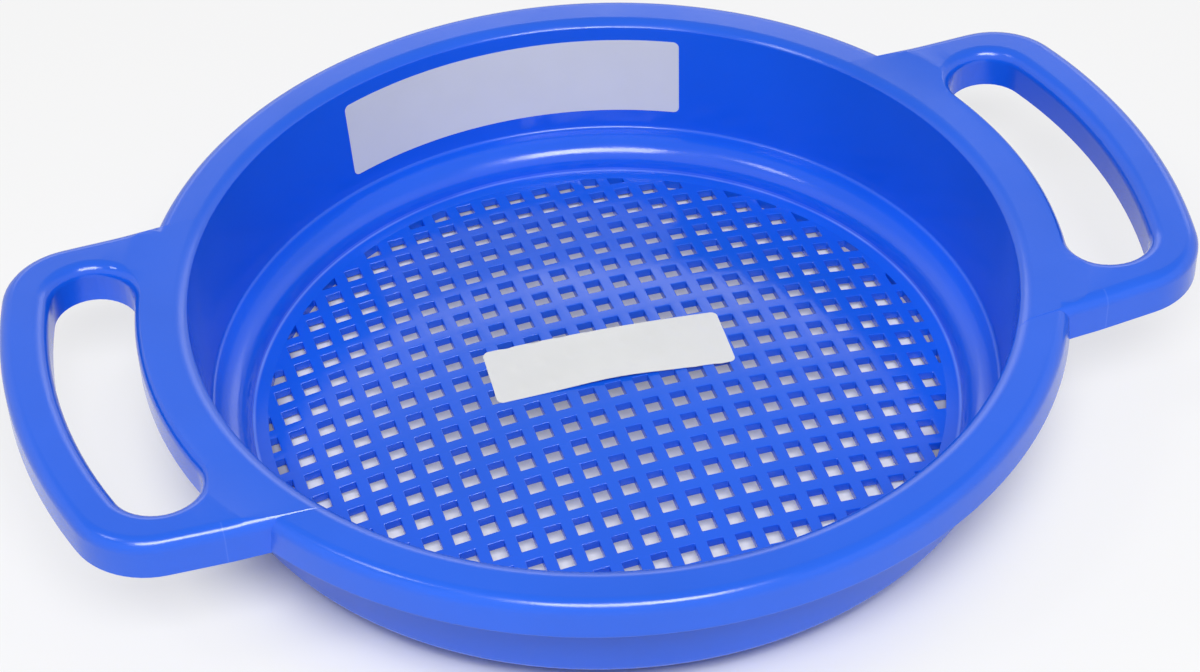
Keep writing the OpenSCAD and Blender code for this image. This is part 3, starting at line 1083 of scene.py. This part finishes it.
class SIEVE_OT_stage(Operator):
    """Set up the floor, the lamps and the camera"""

    bl_idname = "sieve.add_stage"
    bl_label = "Add stage"

    def execute(self, context):
        studio = context.scene.sieve_studio
        bpy.ops.mesh.primitive_plane_add(size=6, location=(0, 0, 0))
        floor = named("studio_floor")
        floor.data.materials.append(floor_material())
        studio_world(studio.ambient, studio.overhead)
        lamp("backlight", (0.75, 1.6, 0.92), width=2.4, height=0.6, watts=studio.back_power)
        lamp(
            "window_above_camera", (-0.22, -0.86, 1.24), width=0.85, height=0.46,
            watts=studio.window_power)
        lamp("window_on_left", (-0.85, -0.03, 1.3), width=0.25, height=0.25, watts=studio.side_power)
        aim = Vector((6.8 * MM, 25 * MM, 0.6 * MM))
        context.scene.camera = camera_on(studio, aim)
        context.scene.view_settings.view_transform = "Standard"
        return {"FINISHED"}


class SIEVE_PT_panel(Panel):
    """Lists the steps and the sizes of the sieve."""

    bl_idname = "SIEVE_PT_panel"
    bl_label = "Sand sieve"
    bl_space_type = "VIEW_3D"
    bl_region_type = "UI"
    bl_category = "Sieve"

    def draw(self, context):
        for step in STEPS:
            self.layout.operator(step.bl_idname)
        for name, group in GROUPS.items():
            box = self.layout.box()
            for size in group.__annotations__:
                box.prop(getattr(context.scene, name), size)


STEPS = (
    SIEVE_OT_stage, SIEVE_OT_rim, SIEVE_OT_bowl, SIEVE_OT_grille, SIEVE_OT_handles, SIEVE_OT_labels)
GROUPS = {
    "sieve_sizes": SieveSizes,
    "sieve_grille": SieveGrille,
    "sieve_handles": SieveHandles,
    "sieve_labels": SieveLabels,
    "sieve_finish": SieveFinish,
    "sieve_studio": SieveStudio,
}
CLASSES = (*GROUPS.values(), *STEPS, SIEVE_PT_panel)


def register():
    """Registers the classes and puts each group of sizes on the scene."""
    for cls in CLASSES:
        bpy.utils.register_class(cls)
    for name, group in GROUPS.items():
        setattr(bpy.types.Scene, name, PointerProperty(type=group))


def unregister():
    """Takes the groups of sizes off the scene and unregisters the classes."""
    for name in GROUPS:
        delattr(bpy.types.Scene, name)
    for cls in reversed(CLASSES):
        bpy.utils.unregister_class(cls)


def main():
    """Registers the steps, then builds the stage and the pieces in order."""
    register()
    bpy.ops.sieve.add_stage()
    bpy.ops.sieve.add_rim()
    bpy.ops.sieve.add_bowl()
    bpy.ops.sieve.add_grille()
    bpy.ops.sieve.add_handles()
    bpy.ops.sieve.add_labels()


if __name__ == "__main__":
    main()
